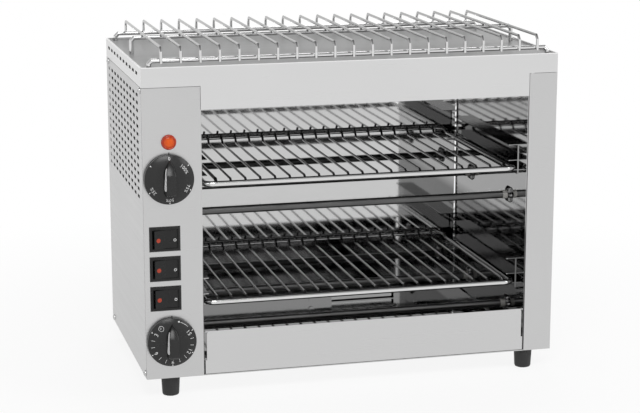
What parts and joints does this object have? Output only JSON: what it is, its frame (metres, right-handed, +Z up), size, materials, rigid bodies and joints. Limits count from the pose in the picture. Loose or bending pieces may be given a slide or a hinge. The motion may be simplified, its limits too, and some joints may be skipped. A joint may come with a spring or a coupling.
{
  "type": "clamp toaster",
  "caption": "Open-fronted countertop clamp toaster with two sliding wire shelves, heating elements, crumb tray, warming rack on top and a control strip of dials and rocker switches.",
  "frame": {"origin": "on the surface the feet stand on, under the middle of the outline, which runs from the dials to the gland", "axes": "+X to the right of someone facing the open front, +Y from the front to the rear, +Z up"},
  "size_m": [0.4436, 0.268, 0.363],
  "materials": {
    "housing_steel": "satin brushed",
    "polished_liner": "mirror polished stainless",
    "guide_steel": "polished",
    "tray_steel": "satin brushed",
    "rack_chrome": "bright chromed wire",
    "element_sheath": "dark oxidised sheath",
    "element_ceramic": "matt steatite",
    "dial_plastic": "satin black",
    "black_plastic": "satin black",
    "switch_plastic": "semi-gloss black",
    "orange_lens": "translucent orange",
    "regulator_plastic": "moulded",
    "timer_steel": "zinc plated",
    "fastener_steel": "nickel plated",
    "foot_rubber": "matt black rubber"
  },
  "bodies": {
    "housing": {"base_pan": "housing_steel", "rear_cover": "housing_steel", "left_side_cover": "housing_steel", "right_side_cover": "housing_steel", "top_cap": "housing_steel", "top_plate": "housing_steel", "control_panel": "housing_steel", "right_pillar": "housing_steel", "liner_left": "polished_liner", "liner_right": "polished_liner", "liner_back": "polished_liner", "ceiling_reflector": "polished_liner", "guide_lower_left": "guide_steel", "guide_lower_right": "guide_steel", "guide_upper_left": "guide_steel", "guide_upper_right": "guide_steel", "ceramic_caps_left": "element_ceramic", "ceramic_caps_right": "element_ceramic", "energy_regulator": "regulator_plastic", "timer_body": "timer_steel", "bush_nuts": "fastener_steel", "lamp_bezel": "black_plastic", "lamp_lens": "orange_lens", "lamp_body": "black_plastic", "cable_gland": "black_plastic", "gland_nut": "black_plastic", "terminal_block": "element_ceramic", "side_screws": "fastener_steel", "rear_screws": "fastener_steel", "foot_screws": "fastener_steel", "foot_nuts": "fastener_steel", "element_lower_front": "element_sheath", "element_lower_rear": "element_sheath", "element_middle_front": "element_sheath", "element_middle_rear": "element_sheath", "element_upper_front": "element_sheath", "element_upper_rear": "element_sheath", "switch_housing_1": "switch_plastic", "switch_housing_2": "switch_plastic", "switch_housing_3": "switch_plastic", "foot_front_left": "foot_rubber", "foot_front_right": "foot_rubber", "foot_rear_left": "foot_rubber", "foot_rear_right": "foot_rubber"},
    "power_dial": {"power_knob": "dial_plastic", "power_shaft": "fastener_steel"},
    "timer_dial": {"timer_knob": "dial_plastic", "timer_shaft": "fastener_steel"},
    "rocker_1": {"rocker_1": "switch_plastic"},
    "rocker_2": {"rocker_2": "switch_plastic"},
    "rocker_3": {"rocker_3": "switch_plastic"},
    "crumb_tray": {"crumb_tray": "tray_steel"},
    "upper_shelf": {"upper_shelf": "rack_chrome"},
    "lower_shelf": {"lower_shelf": "rack_chrome"},
    "top_rack": {"top_rack": "rack_chrome"}
  },
  "joints": [
    {"name": "power_dial_turn", "type": "hinge", "parent": "housing", "child": "power_dial", "pos_m": [-0.194, -0.115, 0.23], "axis": [0, 1, 0], "range_deg": [0, 300]},
    {"name": "timer_dial_turn", "type": "hinge", "parent": "housing", "child": "timer_dial", "pos_m": [-0.194, -0.115, 0.0605], "axis": [0, 1, 0], "range_deg": [0, 300], "stiffness_Nm_per_rad": 0.004},
    {"name": "rocker_1_tilt", "type": "hinge", "parent": "housing", "child": "rocker_1", "pos_m": [-0.1988, -0.112, 0.1681], "axis": [0, 0, -1], "range_deg": [0, 16]},
    {"name": "rocker_2_tilt", "type": "hinge", "parent": "housing", "child": "rocker_2", "pos_m": [-0.1988, -0.112, 0.137], "axis": [0, 0, -1], "range_deg": [0, 16]},
    {"name": "rocker_3_tilt", "type": "hinge", "parent": "housing", "child": "rocker_3", "pos_m": [-0.1988, -0.112, 0.1059], "axis": [0, 0, -1], "range_deg": [0, 16]},
    {"name": "crumb_tray_slide", "type": "slide", "parent": "housing", "child": "crumb_tray", "axis": [0, -1, 0], "range_m": [0, 0.24]},
    {"name": "upper_shelf_slide", "type": "slide", "parent": "housing", "child": "upper_shelf", "axis": [0, -1, 0], "range_m": [0, 0.225]},
    {"name": "lower_shelf_slide", "type": "slide", "parent": "housing", "child": "lower_shelf", "axis": [0, -1, 0], "range_m": [0, 0.225]},
    {"name": "top_rack_lift", "type": "slide", "parent": "housing", "child": "top_rack", "axis": [0, 0, 1], "range_m": [0, 0.06]}
  ]
}
